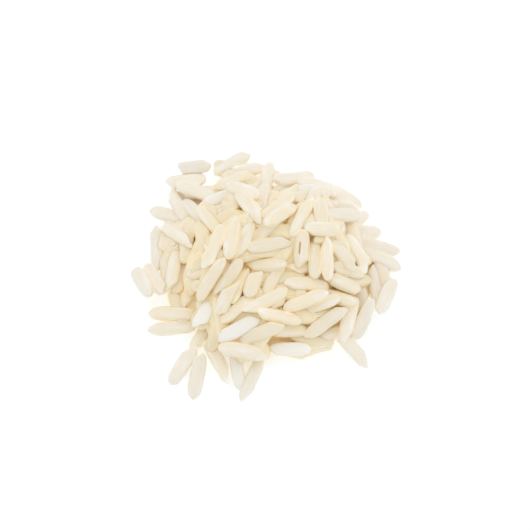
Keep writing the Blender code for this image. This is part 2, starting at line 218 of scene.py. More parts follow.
# Grains tucked into the gaps between the laid ones, at rest on a bed under the pile's even level
LEVEL_SMOOTHING = 50
BED_UNDER = 1.4 * MM
TUCK_SEED = 4
TUCK_ROUNDS = 8
TUCK_EACH = 30
TUCK_TRIES = 40
TUCK_GAP = 0.7 * MM
TUCK_SCATTER = 1.5 * MM
TUCK_REACH = 1.12
TUCK_MOST_OVER = 1.0 * MM
TUCK_DROPS = (0.0, 0.5 * MM, 1.0 * MM)
TUCK_LEAST_LIFT = 0.4 * MM
TUCK_LEAST_CELLS = 10
TUCK_HIDE_COST = 0.8

# The core under the grains, with rice-sized bumps
CORE_UNDER = 1.2 * MM
CORE_CLEAR = 0.15 * MM
CORE_CLEAR_REACH = 0.7 * MM
CORE_REACH = 0.98
CORE_FLANK = 1.1
CORE_RINGS = 64
CORE_SECTORS = 220
CORE_FLOOR = 0.15 * MM
BUMP_COUNT = 260
BUMP_SEED = 3
BUMP_STANDS = 0.7 * MM

# Colours, from the clear part of a grain to the painted shade on its sides
CLEAR_COLOUR = (0.965, 0.85, 0.62, 1.0)
MILKY_COLOUR = (0.99, 0.955, 0.875, 1.0)
CHALKY_COLOUR = (0.995, 0.965, 0.89, 1.0)
# Painted shade: the deeper cream of the core and the tucked grains, deep in the heap
CORE_SHADE_COLOUR = (0.975, 0.87, 0.62, 1.0)
# Painted light: the paler colour of grains towards the heap's rim, back and right
RIM_LIGHT_COLOUR = (0.955, 0.885, 0.755, 1.0)
# Painted shade: the ochre of a grain's lower sides, inside the heap
SIDE_SHADE_COLOUR = (0.985, 0.87, 0.48, 1.0)
SLIT_COLOUR = (0.60, 0.38, 0.13, 1.0)
TONE_RANGE = (0.955, 1.03)

# Where the rim's painted light comes in, from a place a little off the mound's middle, and where the
# sides' painted shade does, down from a grain's crest, with its shares inside and at the rim
RIM_LIGHT_REACH = (0.65, 1.1)
RIM_LIGHT_SHIFT = (1.5 * MM, 3.5 * MM)
SIDE_SHADE_REACH = (0.35, -0.55)
SIDE_SHADE_SHARES = (0.62, 0.10)

# Marks of a grain, by the share along it, and by the way round it with its parts sideways and up
MARKS_NAME = "Rice marks"
MARKS_APART = 60.0
STREAK_FINENESS = 7.0
STREAK_NOISE = (1.2, 3.0, 0.6)
STREAK_REACH = (0.4, 0.7)
STREAK_MILK = 0.6
CLOUD_NOISE = (0.9, 1.0)
CLOUD_REACH = (0.52, 0.72)
CLEAR_CLOUD = 0.6
CHALKY_CLOUD = 0.8
# Painted highlight: a chalky grain's white is strongest towards its crest
CREST_HIGHLIGHT_REACH = (0.05, 0.75)
PALE_TIP_REACH = (0.72, 0.95)
PALE_TIP_TONES = (0.5, 0.8)
PALE_TIP_SHARES = (0.2, 1.0)
SLIT_ASIDE = 0.15
SLIT_HALF_WIDTH = (0.06, 0.16)
SLIT_HALF_LENGTH = (0.22, 0.36)
SLIT_ABOVE = (0.0, 0.1)

# The waxy surface, and the light that scatters under it
ROUGHNESS = 0.42
TRANSLUCENCY = 0.6
CHALKY_SCATTER = 0.5
RICE_IOR = 1.3
SCATTER_RADIUS = (1.0, 1.0, 1.0)
SCATTER_REACH = 0.5 * MM
RELIEF_DEPTH = 0.08 * MM
STREAK_RELIEF = 0.5
CORE_ROUGHNESS = 0.55
CORE_RELIEF = 0.3
CORE_FINE_NOISE = (2600.0, 3.0)
CORE_PATCH_SCALE = 700.0
CORE_PATCH_REACH = (0.3, 0.7)

# The stage
FLOOR_SIDE = 1.6
FLOOR_COLOUR = (0.74, 0.785, 0.85, 1.0)
FLOOR_ROUGHNESS = 0.8
FLOOR_GLOW = 0.34
LENS = 120.0
SENSOR = 36.0
CLIP_START = 0.01
WORLD_STRENGTH = 0.82
KEY_PLACE = Vector((-0.14, 0.20, 0.30))
KEY_SIDE = 0.32
KEY_POWER = 0.145
FILL_PLACE = Vector((0.24, 0.06, 0.24))
FILL_SIDE = 0.30
FILL_POWER = 0.10
LIGHT_BOUNCES = 20

Grain = namedtuple("Grain", "x y z turn slope length width thickness group seen")


def fullness(s):
    """Thickness of a grain at s, from -1 at one tip to 1 at the other, as a share of its greatest."""
    return (1 - np.minimum(np.abs(s), 1) ** END_TAPER) ** END_BLUNTNESS


def mound_reach(x, y):
    """How far out places of the surface lie, from 0 at the mound's middle to 1 at its rim."""
    return np.hypot((x - MOUND_CENTRE[0]) / MOUND_RADII[0], (y - MOUND_CENTRE[1]) / MOUND_RADII[1])


def mound_place(reach, bearing):
    """Places of the surface so far out and in such a bearing from the mound's middle."""
    x = MOUND_CENTRE[0] + reach * np.cos(bearing) * MOUND_RADII[0]
    return x, MOUND_CENTRE[1] + reach * np.sin(bearing) * MOUND_RADII[1]


def mound_height(x, y):
    """Height of the mound's even outer form over places of the surface."""
    return MOUND_HEIGHT * np.clip(1 - mound_reach(x, y) ** MOUND_CURVE, 0, 1)


def beside(x, y, along, across, turn):
    """Places along and across from a place that faces a heading."""
    cos, sin = np.cos(turn), np.sin(turn)
    return x + along * cos - across * sin, y + along * sin + across * cos


class Pile:
    """The heap as it grows: its grains, and the height and owner of its top over a fine grid."""

    def __init__(self):
        count = 2 * round(GRID_HALF / GRID_STEP) + 1
        self.axis = np.linspace(-GRID_HALF, GRID_HALF, count)
        self.grid_x, self.grid_y = np.meshgrid(self.axis, self.axis, indexing="ij")
        self.top = np.maximum(mound_height(self.grid_x, self.grid_y) - CORE_DEPTH, 0)
        self.owner = np.full(self.top.shape, -1)
        self.grains = []

    def cell(self, x, y):
        """Nearest cells of the grid to places of the surface."""
        last = len(self.axis) - 1
        return tuple(np.clip(np.rint((v + GRID_HALF) / GRID_STEP).astype(int), 0, last) for v in (x, y))

    def shows_laid_grain(self, x, y):
        """Whether a listed grain laid on top is uppermost at or close round each place."""
        laid = np.array([grain.group == "top" for grain in self.grains] + [False])
        found = np.zeros(len(x), bool)
        around = ((0, 0), (SHOWN_MARGIN, 0), (-SHOWN_MARGIN, 0), (0, SHOWN_MARGIN), (0, -SHOWN_MARGIN))
        for dx, dy in around:
            found |= laid[self.owner[self.cell(x + dx, y + dy)]]
        return found

    def rest(self, x, y, turn, size, steepest):
        """Height and slope at which a grain comes to rest at each of some places and headings.

        The grain is felt under at stations along it. It lies on the two stations, one on each
        side of its middle, that hold the middle up highest.
        """
        x, y, turn = (np.asarray(values, float).reshape(-1, 1, 1) for values in (x, y, turn))
        half_length, half_width, half_thickness = (value / 2 for value in size)
        s = np.linspace(-FEELER_REACH[0], FEELER_REACH[0], FEELERS_ALONG).reshape(1, -1, 1)
        t = np.linspace(-FEELER_REACH[1], FEELER_REACH[1], FEELERS_ACROSS).reshape(1, 1, -1)
        middle = FEELERS_ALONG // 2
        slope = np.zeros(x.shape)
        for _ in range(SLOPE_PASSES):
            level = 1 / np.sqrt(1 + slope ** 2)
            along = s * half_length * level
            across = t * half_width * fullness(s)
            ground = self.top[self.cell(*beside(x, y, along, across, turn))]
            ground = np.maximum(ground - NESTLE, 0)
            need = (ground + half_thickness * fullness(s) * np.sqrt(1 - t ** 2) / level).max(axis=2)
            need = np.round(need, ROUNDING)
            station = along[:, :, 0]
            near, far = station[:, :middle, None], station[:, None, middle + 1:]
            near_need, far_need = need[:, :middle, None], need[:, None, middle + 1:]
            held = np.round((near_need * far - far_need * near) / (far - near), ROUNDING)
            lean = (far_need - near_need) / (far - near)
            best = held.reshape(len(held), -1).argmax(axis=1)
            chosen = lean.reshape(len(lean), -1)[np.arange(len(lean)), best]
            slope = np.clip(chosen, -steepest, steepest).reshape(-1, 1, 1)
        z = (need - slope[:, :, 0] * station).max(axis=1)
        return np.round(z, ROUNDING), slope[:, 0, 0]

    def touches(self, x, y, turn, size):
        """Whether a grain lying flat here meets an earlier one or the core's rim."""
        s = np.linspace(-1, 1, FEELERS_ALONG)
        along = np.concatenate([s, s]) * size[0] / 2
        across = np.concatenate([fullness(s), -fullness(s)]) * size[1] / 2
        edge = beside(x, y, along, across, turn)
        return (self.owner[self.cell(*edge)] >= 0).any() or mound_reach(*edge).min() < TOUCH_REACH

    def slide(self, x, y, turn, size, steps, steepest):
        """Lets a grain creep downhill and turn, and returns where it stops."""
        z, slope = (values[0] for values in self.rest([x], [y], [turn], size, steepest))
        along, across, round_by = np.array([
            (0, SLIDE_STEP, 0), (0, -SLIDE_STEP, 0), (SLIDE_STEP, 0, 0), (-SLIDE_STEP, 0, 0),
            (0, 0, SLIDE_TURN), (0, 0, -SLIDE_TURN),
        ]).T
        for _ in range(steps):
            xs, ys = beside(x, y, along, across, turn)
            turns = turn + round_by
            heights, slopes = self.rest(xs, ys, turns, size, steepest)
            k = int(heights.argmin())
            if heights[k] > z - SLIDE_FRICTION * SLIDE_STEP:
                break
            x, y, turn, z, slope = xs[k], ys[k], turns[k], heights[k], slopes[k]
        return x, y, z, turn, slope

    def surface(self, pose, size):
        """Cells round a grain, and the height of its upper side over them."""
        x, y, z, turn, slope = pose
        length, width, thickness = size
        level = 1 / math.sqrt(1 + slope ** 2)
        near = np.hypot(self.grid_x - x, self.grid_y - y) < length / 2
        along, across = beside(0, 0, self.grid_x[near] - x, self.grid_y[near] - y, -turn)
        reach = width / 2 * fullness(along / (length / 2 * level))
        bulge = thickness / width * np.sqrt(np.maximum(reach ** 2 - across ** 2, 0)) / level
        return near, np.where(np.abs(across) < reach, z + slope * along + bulge, -np.inf)

    def add(self, pose, size, group, seen=None):
        """Keeps a grain, and raises the pile's top by it."""
        pose = [round(float(value), ROUNDING) for value in pose]
        near, height = self.surface(pose, size)
        raised = height > self.top[near]
        self.top[near] = np.where(raised, height, self.top[near])
        self.owner[near] = np.where(raised, len(self.grains), self.owner[near])
        self.grains.append(Grain(*pose, *size, group, seen))


def draw_size(draw, usual, length=None):
    """Length, width and thickness of the next grain, from those of a usual one."""
    length = length or usual[0] * draw.uniform(*LENGTH_SPREAD)
    width = usual[1] * draw.uniform(*WIDTH_SPREAD)
    return length, width, usual[2] * draw.uniform(*THICKNESS_SPREAD)


def read_seen(seen):
    """Place right and up of the origin in the picture, heading on the surface, and true length."""
    px, py, heading, length = seen
    right = (px - ORIGIN_PIXEL[0]) * PIXEL
    up = (ORIGIN_PIXEL[1] - py) * PIXEL
    heading = math.radians(heading)
    turn = math.atan2(math.sin(heading) / SIGHT_SIN, math.cos(heading))
    foreshortened = math.hypot(math.cos(turn), math.sin(turn) * SIGHT_SIN)
    return right, up, turn, min(length * PIXEL / foreshortened, LONGEST_GRAIN)


def lay_stray(pile, draw, usual, seen):
    """Lays a grain of the outline where it is seen, drawn in until it lies against the rest."""
    right, up, turn, length = read_seen(seen)
    x, y = right, (up - MIDDLE_HEIGHT * SIGHT_COS) / SIGHT_SIN
    size = draw_size(draw, usual, length)
    inwards = Vector((MOUND_CENTRE[0] - x, MOUND_CENTRE[1] - y)).normalized() * TOUCH_STEP
    steps = 0
    while steps < TOUCH_MOST_STEPS and not pile.touches(x, y, turn, size):
        x += inwards.x
        y += inwards.y
        steps += 1
    if steps:
        x += inwards.x * TOUCH_OVERLAP_STEPS
        y += inwards.y * TOUCH_OVERLAP_STEPS
    x, y, z, turn, slope = pile.slide(x, y, turn, size, 0, STEEPEST_SHOWN)
    if z < size[2] / 2 + LEAST_LIFT:
        z, slope = size[2] / 2, 0.0
    pile.add((x, y, z, turn, slope), size, "stray", seen[:2])


def lay_on_top(pile, draw, usual, seen):
    """Lays a grain on the mound so that it lies low and flat and is seen in its place."""
    right, up, turn, length = read_seen(seen)
    y = up
    for _ in range(SIGHT_PASSES):
        height = float(mound_height(right, y)) + MIDDLE_HEIGHT
        y += ((up - height * SIGHT_COS) / SIGHT_SIN - y) / 2
    size = draw_size(draw, usual, length)
    xs = right + draw.normal(0, LAID_SCATTER[0], LAID_TRIES)
    ys = y + draw.normal(0, LAID_SCATTER[1], LAID_TRIES)
    turns = turn + draw.normal(0, LAID_SCATTER[2], LAID_TRIES)
    z, slope = pile.rest(xs, ys, turns, size, STEEPEST_SHOWN)
    seen_up = ys * SIGHT_SIN + z * SIGHT_COS
    off = np.hypot(xs - right, seen_up - up) + LAID_TURN_COST * np.abs(turns - turn)
    cost = off + LAID_HEIGHT_COST * z + LAID_SLOPE_COST * np.abs(slope)
    k = int(np.round(cost, ROUNDING).argmin())
    pile.add((xs[k], ys[k], z[k], turns[k], slope[k]), size, "top", seen[:2])


def fan(x):
    """Heading that filling grains tend to at a place."""
    return np.radians(FAN_HEADING + FAN_PER_MM * x / MM)


def fill(pile, draw, usual, share, slides):
    """Drops grains where the pile lies furthest under a share of the mound, until it is full."""
    while True:
        x = draw.uniform(-GRID_HALF, GRID_HALF, FILL_DROPS)
        y = draw.uniform(-GRID_HALF, GRID_HALF, FILL_DROPS)
        gap = share * mound_height(x, y) - pile.top[pile.cell(x, y)]
        gap[pile.shows_laid_grain(x, y)] = 0
        k = int(np.round(gap, ROUNDING).argmax())
        if gap[k] < LEAST_GAP:
            return
        size = draw_size(draw, usual)
        xs = x[k] + draw.normal(0, FILL_SCATTER, FILL_TRIES)
        ys = y[k] + draw.normal(0, FILL_SCATTER, FILL_TRIES)
        turns = fan(xs) + draw.normal(0, FAN_SCATTER, FILL_TRIES)
        z, slope = pile.rest(xs, ys, turns, size, STEEPEST_FILL)
        cost = z - mound_height(xs, ys) + FILL_SLOPE_COST * np.abs(slope)
        k = int(np.round(cost, ROUNDING).argmin())
        pile.add(pile.slide(xs[k], ys[k], turns[k], size, slides, STEEPEST_FILL), size, "fill")


def even_level(pile):
    """Height of the pile's top over its grid, with single grains and gaps evened out."""
    level = pile.top
    shifts = ((0, 1), (0, -1), (1, 0), (-1, 0))
    for _ in range(LEVEL_SMOOTHING):
        level = sum(np.roll(level, shift, axis=(0, 1)) for shift in shifts) / len(shifts)
    return level


def lowest_near(pile):
    """Lowest height of the grains that show near each place of the pile's grid."""
    reach = round(CORE_CLEAR_REACH / GRID_STEP)
    near = range(-reach, reach + 1)
    shifts = [(i, j) for i in near for j in near if math.hypot(i, j) <= reach]
    shown = np.where(pile.owner >= 0, pile.top, np.inf)
    return np.min([np.roll(shown, shift, axis=(0, 1)) for shift in shifts], axis=0)


def tuck(pile, usual):
    """Tucks grains into the gaps of the pile from all sides, each at rest on a bed under its level.

    A tucked grain may hide filling grains further down, but hardly any of the listed ones. It
    hardly reaches out past the mound, and isn't let down into the surface under the heap.
    """
    draw = np.random.default_rng(TUCK_SEED)
    bed = Pile()
    inside = mound_reach(pile.grid_x, pile.grid_y) < TUCK_REACH
    laid = np.array([grain.group != "fill" for grain in pile.grains] + [False])
    for _ in range(TUCK_ROUNDS):
        level = even_level(pile)
        bed.top = np.maximum(bed.top, level - BED_UNDER)
        for _ in range(TUCK_EACH):
            gap = inside & ((level - pile.top > TUCK_GAP) | (pile.owner < 0))
            places = np.argwhere(gap)
            if not len(places):
                return
            picked = draw.choice(places, TUCK_TRIES)
            xs = pile.axis[picked[:, 0]] + draw.normal(0, TUCK_SCATTER, TUCK_TRIES)
            ys = pile.axis[picked[:, 1]] + draw.normal(0, TUCK_SCATTER, TUCK_TRIES)
            turns = fan(xs) + draw.normal(0, FAN_SCATTER, TUCK_TRIES)
            size = draw_size(draw, usual)
            zs, slopes = bed.rest(xs, ys, turns, size, STEEPEST_FILL)
            most_gain, best = TUCK_LEAST_CELLS, None
            for x, y, z, turn, slope in zip(xs, ys, zs, turns, slopes):
                near, height = pile.surface((x, y, z, turn, slope), size)
                shown = laid[np.minimum(pile.owner[near], len(laid) - 1)]
                outside = (~inside[near] & (pile.owner[near] < 0) & (height > 0)).sum()
                lift = height - pile.top[near]
                lowest = z - size[2] / 2 - abs(slope) * size[0] / 2 * FEELER_REACH[0]
                for drop in TUCK_DROPS:
                    if drop > max(lowest, 0) or (height - drop - level[near]).max() > TUCK_MOST_OVER:
                        continue
                    covers = gap[near] & (lift - drop > TUCK_LEAST_LIFT)
                    hides = shown & (lift > drop)
                    gain = covers.sum() - TUCK_HIDE_COST * hides.sum() - outside
                    if gain > most_gain:
                        most_gain, best = gain, (x, y, z - drop, turn, slope)
            if best:
                pile.add(best, size, "tucked")
                bed.add(best, size, "tucked")


@functools.lru_cache(maxsize=4)
def lay_heap(usual):
    """Lays the whole heap of grains of a usual size, from the strays to the grains on top."""
    draw = np.random.default_rng(FILL_SEED)
    pile = Pile()
    for seen in STRAYS:
        lay_stray(pile, draw, usual, seen)
    fill(pile, draw, usual, FILL_SHARE, FILL_SLIDES)
    for seen in TOP_GRAINS:
        lay_on_top(pile, draw, usual, seen)
    fill(pile, draw, usual, LATE_SHARE, LATE_SLIDES)
    tuck(pile, usual)
    return pile


def usual_size(settings):
    """Length, width and thickness of a usual grain, free of the last digits of a setting."""
    return tuple(round(value, ROUNDING) for value in (settings.length, settings.width, settings.thickness))


def own_ways(grains):
    """Kind, tone, roll, bend and end of each grain, drawn apart from the laying."""
    draw = np.random.default_rng(KIND_SEED)
    ways = []
    for grain in grains:
        tone, roll, bend, slant, start, stretch, turned, chance = draw.uniform(0, 1, 8)
        tail_slant, tail_start, tail_side = draw.uniform(0, 1, 3)
        kind = "tucked" if grain.group == "tucked" else "clear"
        flip = turned < 0.5
        if grain.seen in CHALKY_SEEN or (grain.group == "fill" and chance < CHALKY_CHANCE):
            kind = "chalky"
        elif grain.seen in BROKEN_SEEN:
            kind, flip = "broken", BROKEN_SEEN[grain.seen] < 0
        elif grain.group == "fill" and chance > 1 - BROKEN_CHANCE:
            kind = "broken"
        broken = kind == "broken"
        ends = (
            np.interp(stretch, (0, 1), BREAK_STRETCH) if broken else 1.0,
            np.interp(slant, (0, 1), BREAK_SLANT if broken else GERM_SLANT),
            BREAK_START if broken else np.interp(start, (0, 1), GERM_START),
        )
        tail = (
            np.interp(tail_slant, (0, 1), TAIL_SLANT), np.interp(tail_start, (0, 1), TAIL_START),
            1.0 if tail_side < TAIL_SAME_SIDE else -1.0,
        )
        roll, bend = (2 * roll - 1) * ROLL_SPREAD, (2 * bend - 1) * BEND_SPREAD
        ways.append((kind, tone, roll, bend, flip, ends, tail))
    return ways


def grain_row(grain, ways):
    """What the grain tree has to know of a grain: its place, its axes and its own ways."""
    _, tone, roll, bend, flip, ends, tail = ways
    ahead = Vector((math.cos(grain.turn), math.sin(grain.turn), grain.slope)).normalized()
    side = Vector((-math.sin(grain.turn), math.cos(grain.turn), 0))
    up = ahead.cross(side)
    rolled = side * math.cos(roll) + up * math.sin(roll)
    sign = -1 if flip else 1
    # Painted light: grains towards the rim of the mound, the more so at its back and right, are made paler
    rim = mound_reach(grain.x + RIM_LIGHT_SHIFT[0], grain.y + RIM_LIGHT_SHIFT[1])
    return {
        "middle": (grain.x, grain.y, grain.z),
        "ahead": ahead * sign,
        "side": rolled * sign,
        "up": up * math.cos(roll) - side * math.sin(roll),
        "half": (grain.length / 2, grain.width / 2, grain.thickness / 2),
        "ends": ends, "tail": tail, "bend": bend, "tone": tone,
        "rim": float(np.interp(rim, RIM_LIGHT_REACH, (0, 1))),
        "slit": float(grain.seen == SLIT_SEEN),
    }


def grain_points(name, rows):
    """A mesh of one point for each row, with what the rows say as attributes."""
    mesh = bpy.data.meshes.new(name)
    mesh.from_pydata([row["middle"] for row in rows], [], [])
    for key in rows[0]:
        values = np.array([row[key] for row in rows], float)
        kind, field = ("FLOAT_VECTOR", "vector") if values.ndim == 2 else ("FLOAT", "value")
        mesh.attributes.new(f"grain_{key}", kind, "POINT").data.foreach_set(field, values.ravel())
    return mesh


def new_group(name, kind, inputs, outputs):
    """A node group with the named sockets, each with its kind."""
    group = bpy.data.node_groups.new(name, kind)
    for direction, sockets in (("INPUT", inputs), ("OUTPUT", outputs)):
        for label, socket in sockets.items():
            group.interface.new_socket(label, in_out=direction, socket_type=f"NodeSocket{socket}")
    return group


class Wiring:
    """Adds nodes to a node tree and joins them up."""

    def __init__(self, tree):
        self.tree = tree

    def feed(self, socket, value):
        """Links an output to a socket, or sets the socket to a value."""
        if isinstance(value, bpy.types.NodeSocket):
            self.tree.links.new(value, socket)
        else:
            socket.default_value = value

    def node(self, kind, feeds=(), **options):
        """A node with its options set and its inputs fed, by index or name."""
        node = self.tree.nodes.new(kind)
        for option, value in options.items():
            setattr(node, option, value)
        for key, value in dict(feeds).items():
            self.feed(node.inputs[key], value)
        return node

    def math(self, operation, *values):
        """Result of a sum on numbers."""
        return self.node("ShaderNodeMath", enumerate(values), operation=operation).outputs[0]

    def plus(self, *values):
        """Numbers added up."""
        return functools.reduce(functools.partial(self.math, "ADD"), values)

    def times(self, *values):
        """Numbers multiplied."""
        return functools.reduce(functools.partial(self.math, "MULTIPLY"), values)

    def minus(self, first, second):
        """The first number less the second."""
        return self.math("SUBTRACT", first, second)

    def size(self, value):
        """A number without its sign."""
        return self.math("ABSOLUTE", value)

    def vector(self, operation, *values):
        """Result of a sum on vectors."""
        return self.node("ShaderNodeVectorMath", enumerate(values), operation=operation).outputs[0]

    def scaled(self, vector, factor):
        """A vector times a number."""
        return self.node("ShaderNodeVectorMath", {0: vector, 3: factor}, operation="SCALE").outputs[0]

    def mapped(self, value, low, high, to_low=0.0, to_high=1.0):
        """A number taken from one range to another, and held inside it."""
        feeds = enumerate((value, low, high, to_low, to_high))
        return self.node("ShaderNodeMapRange", feeds, clamp=True).outputs[0]

    def combined(self, x, y, z):
        """A vector from three numbers."""
        return self.node("ShaderNodeCombineXYZ", enumerate((x, y, z))).outputs[0]

    def separated(self, vector):
        """The three numbers of a vector."""
        return self.node("ShaderNodeSeparateXYZ", {0: vector}).outputs

    def mixed(self, factor, first, second, blend="MIX"):
        """A mix of two colours."""
        feeds = {0: factor, 6: first, 7: second}
        return self.node("ShaderNodeMix", feeds, data_type="RGBA", blend_type=blend).outputs[2]

    def noise(self, vector, scale, detail=2.0, roughness=0.5):
        """Noise from 0 to 1 over a vector."""
        feeds = {"Vector": vector, "Scale": scale, "Detail": detail, "Roughness": roughness}
        return self.node("ShaderNodeTexNoise", feeds).outputs[0]


def grain_tree():
    """The node tree that puts a shaped grain at every point, by the point's attributes."""
    inputs = {"Points": "Geometry", "Facet depth": "Float", "Unevenness": "Float", "Material": "Material"}
    tree = new_group(TREE_NAME, "GeometryNodeTree", inputs, {"Grains": "Geometry"})
    nodes = Wiring(tree)
    given = nodes.node("NodeGroupInput").outputs

    def own(key, kind="FLOAT_VECTOR"):
        feeds = {"Name": f"grain_{key}"}
        return nodes.node("GeometryNodeInputNamedAttribute", feeds, data_type=kind).outputs[0]

    def cut(across, slant, start):
        """How far a slanting cut comes in from the tip."""
        return nodes.times(slant, nodes.math("MAXIMUM", nodes.minus(across, start), 0.0))

    # The unit grain, which keeps its share along and its direction round as grain_place
    ball = nodes.node("GeometryNodeMeshUVSphere", {0: GRAIN_SIDES, 1: GRAIN_RINGS, 2: 1.0}).outputs[0]
    x, y, z = nodes.separated(nodes.node("GeometryNodeInputPosition").outputs[0])
    feeds = {0: nodes.combined(x, y, 0.0)}
    ring = nodes.node("ShaderNodeVectorMath", feeds, operation="LENGTH").outputs[1]
    ring = nodes.math("MAXIMUM", ring, TIP_CLOSE)
    place = nodes.combined(z, nodes.math("DIVIDE", x, ring), nodes.math("DIVIDE", y, ring))
    unit = nodes.node(
        "GeometryNodeStoreNamedAttribute", {0: ball, 2: "grain_place", 3: place},
        data_type="FLOAT_VECTOR", domain="POINT",
    ).outputs[0]
    placed = nodes.node("GeometryNodeInstanceOnPoints", {0: given["Points"], 2: unit}).outputs[0]
    real = nodes.node("GeometryNodeRealizeInstances", {0: placed}).outputs[0]

    # The outline: blunt ends, faint flats along the grain and an uneven swell
    s, c, d = nodes.separated(own("place"))
    short = nodes.minus(1.0, nodes.math("POWER", nodes.size(s), TIP_TAPER))
    full = nodes.math("POWER", nodes.math("MAXIMUM", short, 0.0), TIP_BLUNTNESS)
    facets = nodes.math("COSINE", nodes.times(nodes.math("ARCTAN2", d, c), FACET_COUNT))
    flats = nodes.minus(1.0, nodes.times(facets, given["Facet depth"]))
    spot = nodes.vector("ADD", nodes.scaled(own("middle"), UNEVEN_APART), own("place"))
    swell = nodes.mapped(nodes.noise(spot, UNEVEN_SCALE), *UNEVEN_REACH, -1.0, 1.0)
    swelling = nodes.plus(1.0, nodes.times(swell, given["Unevenness"]))
    radius = nodes.times(full, flats, swelling)
    across, above = nodes.times(c, radius), nodes.times(d, radius)

    # The far end, slanted off where the germ sat or cut through where the grain broke, and the tail
    stretch, slant, start = nodes.separated(own("ends"))
    stretched = nodes.math("MAXIMUM", s, nodes.times(s, stretch))
    along = nodes.math("MINIMUM", stretched, nodes.minus(1.0, cut(across, slant, start)))
    slant, start, side = nodes.separated(own("tail"))
    along = nodes.math("MAXIMUM", along, nodes.minus(cut(nodes.times(across, side), slant, start), 1.0))

    # Into the grain's own place, and no lower than the surface
    half_length, half_width, half_thickness = nodes.separated(own("half"))
    bow = nodes.times(own("bend", "FLOAT"), nodes.minus(BEND_LEVEL, nodes.math("POWER", s, 2.0)))
    spot = own("middle")
    for key, share, half in (
        ("ahead", along, half_length), ("side", nodes.plus(across, bow), half_width),
        ("up", above, half_thickness),
    ):
        spot = nodes.vector("ADD", spot, nodes.scaled(own(key), nodes.times(share, half)))
    x, y, z = nodes.separated(spot)
    spot = nodes.combined(x, y, nodes.math("MAXIMUM", z, 0.0))
    shaped = nodes.node("GeometryNodeSetPosition", {0: real, 2: spot}).outputs[0]
    smooth = nodes.node("GeometryNodeSetShadeSmooth", {0: shaped}).outputs[0]
    finished = nodes.node("GeometryNodeSetMaterial", {0: smooth, 2: given["Material"]}).outputs[0]
    nodes.node("NodeGroupOutput", {0: finished})
    return tree


def add_object(name, data):
    """Puts a mesh, lamp or camera into the scene."""
    made = bpy.data.objects.new(name, data)
    bpy.context.scene.collection.objects.link(made)
    return made


def shaped_grains(kind, settings, material):
    """Adds the heap's grains of one kind, as one plain mesh."""
    name = f"{kind}_grains"
    grains = lay_heap(usual_size(settings)).grains
    rows = [grain_row(grain, ways) for grain, ways in zip(grains, own_ways(grains)) if ways[0] == kind]
    if not rows:
        raise RuntimeError(f"There are no {kind} grains")
    points = add_object(name, grain_points(name, rows))
    modifier = points.modifiers.new("Grains", "NODES")
    modifier.node_group = bpy.data.node_groups.get(TREE_NAME) or grain_tree()
    values = {"Facet depth": settings.facet_depth, "Unevenness": settings.unevenness, "Material": material}
    for item in modifier.node_group.interface.items_tree:
        if item.name in values:
            modifier[item.identifier] = values[item.name]
    evaluated = points.evaluated_get(bpy.context.evaluated_depsgraph_get())
    mesh = bpy.data.meshes.new_from_object(evaluated)
    points.modifiers.remove(modifier)
    points.data = mesh
    mesh.name = name
    for attribute in list(mesh.attributes):
        if attribute.name.startswith("grain_") and attribute.name not in KEPT_ATTRIBUTES:
            mesh.attributes.remove(attribute)
    if not mesh.polygons:
        raise RuntimeError(f"{name} came out empty")
    declare(points)


def declare(piece):
    """Hides the imported part that the piece stands for, and sets the body that it rides on."""
    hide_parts(NODE)
    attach(piece, BODY)


def marks_group():
    """Shader node group of what marks a grain: milky parts, relief, brown slit and painted shade on its
    sides.
    """
    group = new_group(
        MARKS_NAME, "ShaderNodeTree",
        {"Place": "Vector", **dict.fromkeys(("Tone", "Cloud", "Slit", "Crest"), "Float")},
        dict.fromkeys(("Milk", "Relief", "Slit", "Side"), "Float"),
    )
    nodes = Wiring(group)
    place, tone, cloud, slit, crest_highlight = nodes.node("NodeGroupInput").outputs[:5]
    s, c, d = nodes.separated(place)
    apart = nodes.plus(s, nodes.times(tone, MARKS_APART))
    streak_place = nodes.combined(apart, nodes.times(c, STREAK_FINENESS), nodes.times(d, STREAK_FINENESS))
    streaks = nodes.noise(streak_place, *STREAK_NOISE)
    clouds = nodes.mapped(nodes.noise(nodes.combined(apart, c, d), *CLOUD_NOISE), *CLOUD_REACH)
    milk = nodes.plus(
        nodes.times(clouds, cloud),
        nodes.times(nodes.mapped(s, *PALE_TIP_REACH), nodes.mapped(tone, *PALE_TIP_TONES, *PALE_TIP_SHARES)),
        nodes.mapped(streaks, *STREAK_REACH, 0.0, STREAK_MILK),
        # A chalky grain's own white, made strongest at the crest as a painted highlight
        nodes.times(crest_highlight, nodes.mapped(d, *CREST_HIGHLIGHT_REACH)),
    )
    slit = nodes.times(
        slit,
        nodes.mapped(nodes.size(nodes.plus(c, SLIT_ASIDE)), *SLIT_HALF_WIDTH, 1.0, 0.0),
        nodes.mapped(nodes.size(s), *SLIT_HALF_LENGTH, 1.0, 0.0),
        nodes.mapped(d, *SLIT_ABOVE),
    )
    # Side: painted shade, growing down a grain's sides from its crest
    feeds = {0: nodes.mapped(milk, 0.0, 1.0), 1: streaks, 2: slit, 3: nodes.mapped(d, *SIDE_SHADE_REACH)}
    nodes.node("NodeGroupOutput", feeds)
    return group


def new_finish(name):
    """An empty material, and the wiring for its nodes."""
    material = bpy.data.materials.new(name)
    material.use_nodes = True
    material.node_tree.nodes.clear()
    return material, Wiring(material.node_tree)


def finish_surface(nodes, colour, roughness, translucency, relief, strength):
    """The shader that all the finishes of rice share."""
    feeds = {"Strength": strength, "Distance": RELIEF_DEPTH, "Height": relief}
    bump = nodes.node("ShaderNodeBump", feeds).outputs[0]
    feeds = {
        "Base Color": colour, "Roughness": roughness, "Normal": bump, "IOR": RICE_IOR,
        "Subsurface Weight": translucency, "Subsurface Radius": SCATTER_RADIUS,
        "Subsurface Scale": SCATTER_REACH,
    }
    surface = nodes.node("ShaderNodeBsdfPrincipled", feeds, subsurface_method="BURLEY").outputs[0]
    nodes.node("ShaderNodeOutputMaterial", {"Surface": surface})


